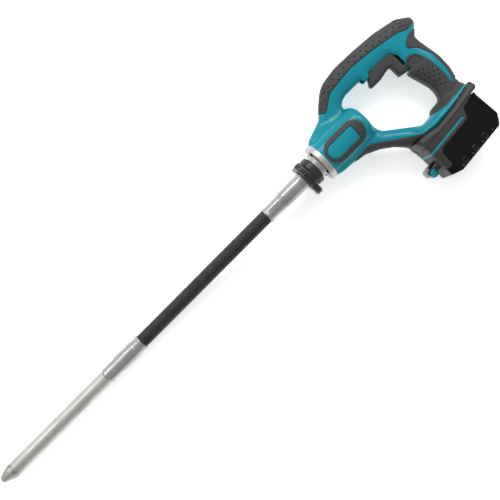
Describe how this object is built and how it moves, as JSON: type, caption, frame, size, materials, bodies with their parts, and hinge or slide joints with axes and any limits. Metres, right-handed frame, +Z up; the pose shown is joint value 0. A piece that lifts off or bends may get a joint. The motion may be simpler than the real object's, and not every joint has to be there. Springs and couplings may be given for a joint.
{
  "type": "concrete vibrator",
  "caption": "Cordless concrete vibrator: loop-handled motor unit with slide-on battery, flexible hose and slim steel vibrating head.",
  "frame": {"origin": "on the ground, under the middle of the whole tool, which lies on its right side", "axes": "+X along the drive axis from the head's nose towards the battery, +Y towards the top handle, +Z up, out of the tool's left side"},
  "size_m": [1.028, 0.2657, 0.075],
  "materials": {
    "teal_housing": "satin moulded plastic",
    "grip_rubber": "matte soft-touch",
    "grey_plastic": "fine texture",
    "black_plastic": "fine texture",
    "light_plastic": "smooth",
    "cast_aluminium": "machined",
    "head_steel": "satin",
    "polished_steel": "polished",
    "black_cast": "black coated",
    "hose_rubber": "fabric wrapped",
    "tool_steel": "ground",
    "magnet": "matte",
    "copper": "bright",
    "carbon": "matte",
    "circuit_board": "coated",
    "cell_wrap": "shrink film",
    "dark_steel": "black oxide"
  },
  "bodies": {
    "power_unit": {"housing_left": "teal_housing", "top_grip_left": "grip_rubber", "rear_spine_left": "grip_rubber", "palm_grip_left": "grip_rubber", "lower_grip_left": "grip_rubber", "badge_ring_left": "grip_rubber", "badge_plate_left": "teal_housing", "housing_right": "teal_housing", "top_grip_right": "grip_rubber", "rear_spine_right": "grip_rubber", "palm_grip_right": "grip_rubber", "lower_grip_right": "grip_rubber", "badge_ring_right": "grip_rubber", "badge_plate_right": "teal_housing", "housing_screws": "dark_steel", "battery_foot": "grey_plastic", "drive_flange": "cast_aluminium", "flange_bolts": "dark_steel", "upper_ferrule": "polished_steel", "hose": "hose_rubber", "hose_liner": "tool_steel", "flexible_shaft": "tool_steel", "motor_can": "tool_steel", "motor_mounts": "grip_rubber", "field_magnets": "magnet", "front_bearing": "tool_steel", "rear_bearing": "tool_steel", "rear_bell": "cast_aluminium", "brush_plate": "black_plastic", "carbon_brushes": "carbon", "trigger_pin": "tool_steel", "switch_body": "black_plastic", "controller_board": "circuit_board", "terminal_block": "black_plastic", "terminal_blades": "copper", "wiring": "copper"},
    "trigger": {"trigger": "grey_plastic"},
    "plunger": {"switch_plunger": "black_plastic"},
    "lock_ring": {"lock_ring": "black_cast"},
    "rotor": {"rotor_shaft": "tool_steel", "armature_core": "tool_steel", "armature_windings": "copper", "commutator": "copper", "cooling_fan": "black_plastic", "drive_socket": "tool_steel", "shaft_tail": "tool_steel"},
    "head": {"lower_ferrule": "polished_steel", "head_tube": "head_steel", "nose_cap": "head_steel", "head_bearings": "tool_steel", "oil_seal": "hose_rubber"},
    "eccentric": {"eccentric_shaft": "tool_steel", "eccentric_weight": "tool_steel"},
    "battery": {"battery_cover": "grey_plastic", "battery_stripe": "teal_housing", "battery_case": "black_plastic", "battery_cells": "cell_wrap", "latch_guard": "light_plastic", "latch_spring": "tool_steel"},
    "latch": {"latch_button": "teal_housing"}
  },
  "joints": [
    {"name": "trigger_pull", "type": "hinge", "parent": "power_unit", "child": "trigger", "pos_m": [0.4597, 0.051, 0.0375], "axis": [0, 0, -1], "range_deg": [0, 5], "stiffness_Nm_per_rad": 0.6, "springref_deg": -2.86},
    {"name": "switch_press", "type": "slide", "parent": "power_unit", "child": "plunger", "axis": [1, 0, 0], "range_m": [0, 0.0024]},
    {"name": "lock_ring_turn", "type": "hinge", "parent": "power_unit", "child": "lock_ring", "pos_m": [0.2137, 0.039, 0.0375], "axis": [-1, 0, 0], "range_deg": [0, 45]},
    {"name": "rotor_spin", "type": "hinge", "parent": "power_unit", "child": "rotor", "pos_m": [0.2867, 0.039, 0.0375], "axis": [1, 0, 0], "continuous": true},
    {"name": "hose_bend", "type": "hinge", "parent": "power_unit", "child": "head", "pos_m": [-0.0338, 0.039, 0.0375], "axis": [0, 0, 1], "range_deg": [-20, 20], "stiffness_Nm_per_rad": 1, "deforming": ["hose", "hose_liner", "flexible_shaft"]},
    {"name": "eccentric_spin", "type": "hinge", "parent": "head", "child": "eccentric", "pos_m": [-0.3733, 0.039, 0.0146], "axis": [1, 0, 0], "continuous": true},
    {"name": "battery_slide", "type": "slide", "parent": "power_unit", "child": "battery", "axis": [-0.9949, -0.1011, 0], "range_m": [0, 0.12]},
    {"name": "latch_press", "type": "slide", "parent": "battery", "child": "latch", "axis": [0.9949, 0.1011, 0], "range_m": [0, 0.0035], "stiffness_N_per_m": 400, "springref_m": -0.003, "deforming": ["latch_spring"]}
  ],
  "couplings": [
    {"joint": "switch_press", "follows": "trigger_pull", "m_per_rad": 0.027},
    {"joint": "eccentric_spin", "follows": "rotor_spin", "ratio": 1}
  ]
}
